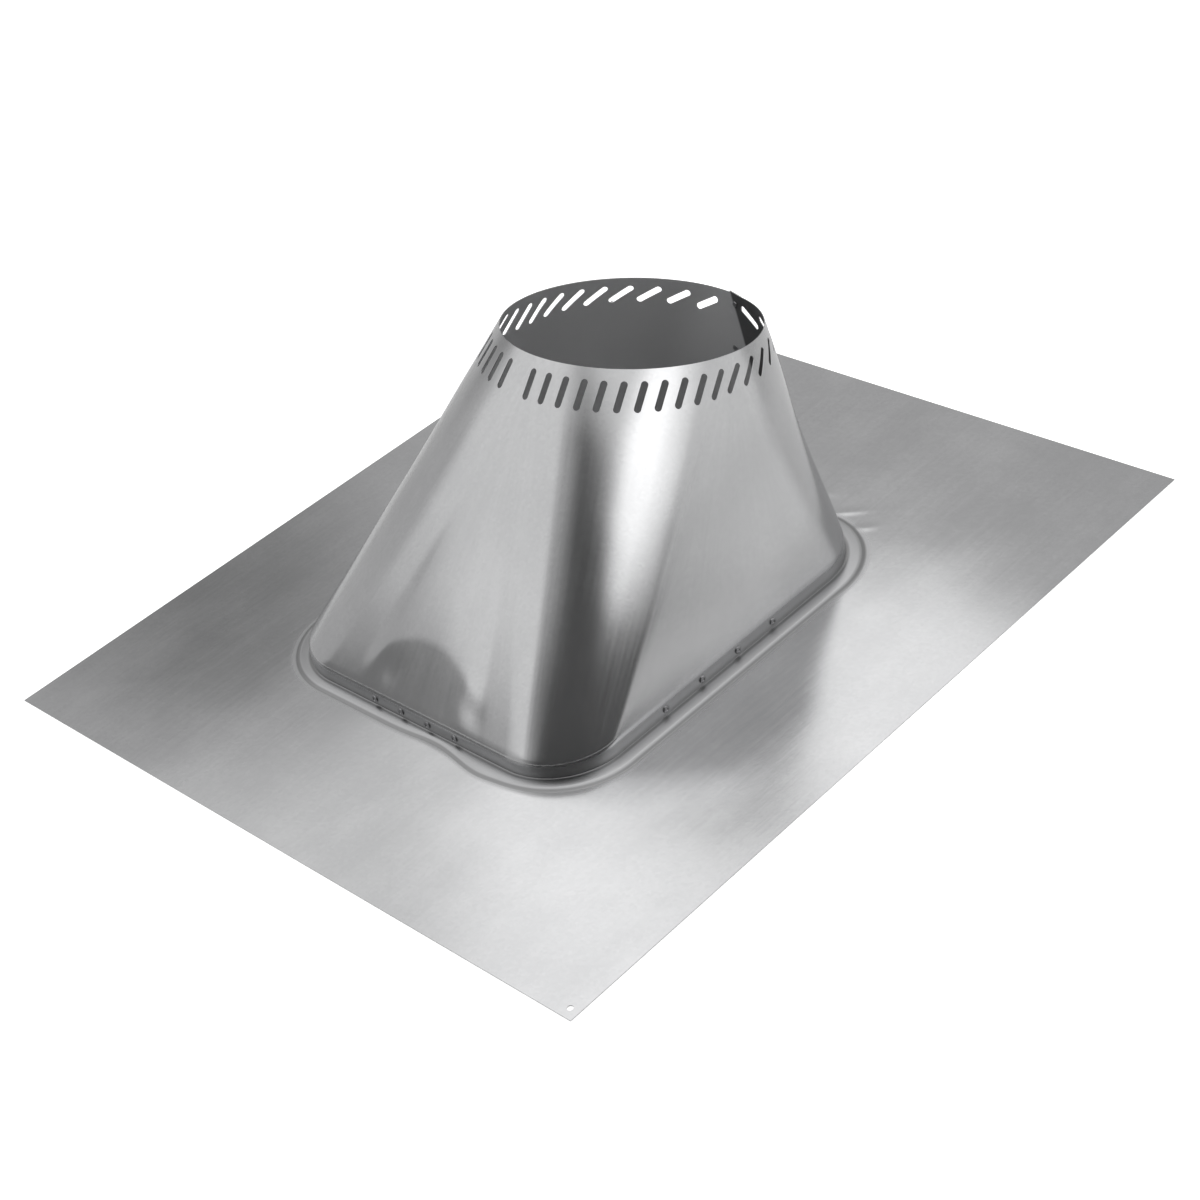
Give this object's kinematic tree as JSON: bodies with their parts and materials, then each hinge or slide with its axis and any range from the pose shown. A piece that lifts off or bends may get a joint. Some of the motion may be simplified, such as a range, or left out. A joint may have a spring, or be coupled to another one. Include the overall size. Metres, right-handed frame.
{
  "type": "roof flashing",
  "caption": "Vented sheet-metal flashing: a flat base sheet with a raised bead and an oblique slotted cone that carries a round chimney pipe through a sloping roof",
  "frame": {"origin": "centre of the base sheet's underside, in the plane of the roof deck", "axes": "+X across the slope, +Y up the slope (the cone's mouth leans this way), +Z away from the roof deck"},
  "size_m": [0.686, 0.772, 0.2468],
  "materials": {
    "galvanised_sheet": "satin mill-finish zinc-coated sheet",
    "rivet_steel": "plain zinc-plated"
  },
  "bodies": {
    "root": {"base_sheet": "galvanised_sheet", "cone": "galvanised_sheet", "foot_rivets": "rivet_steel", "seam_rivets": "rivet_steel"}
  },
  "joints": []
}
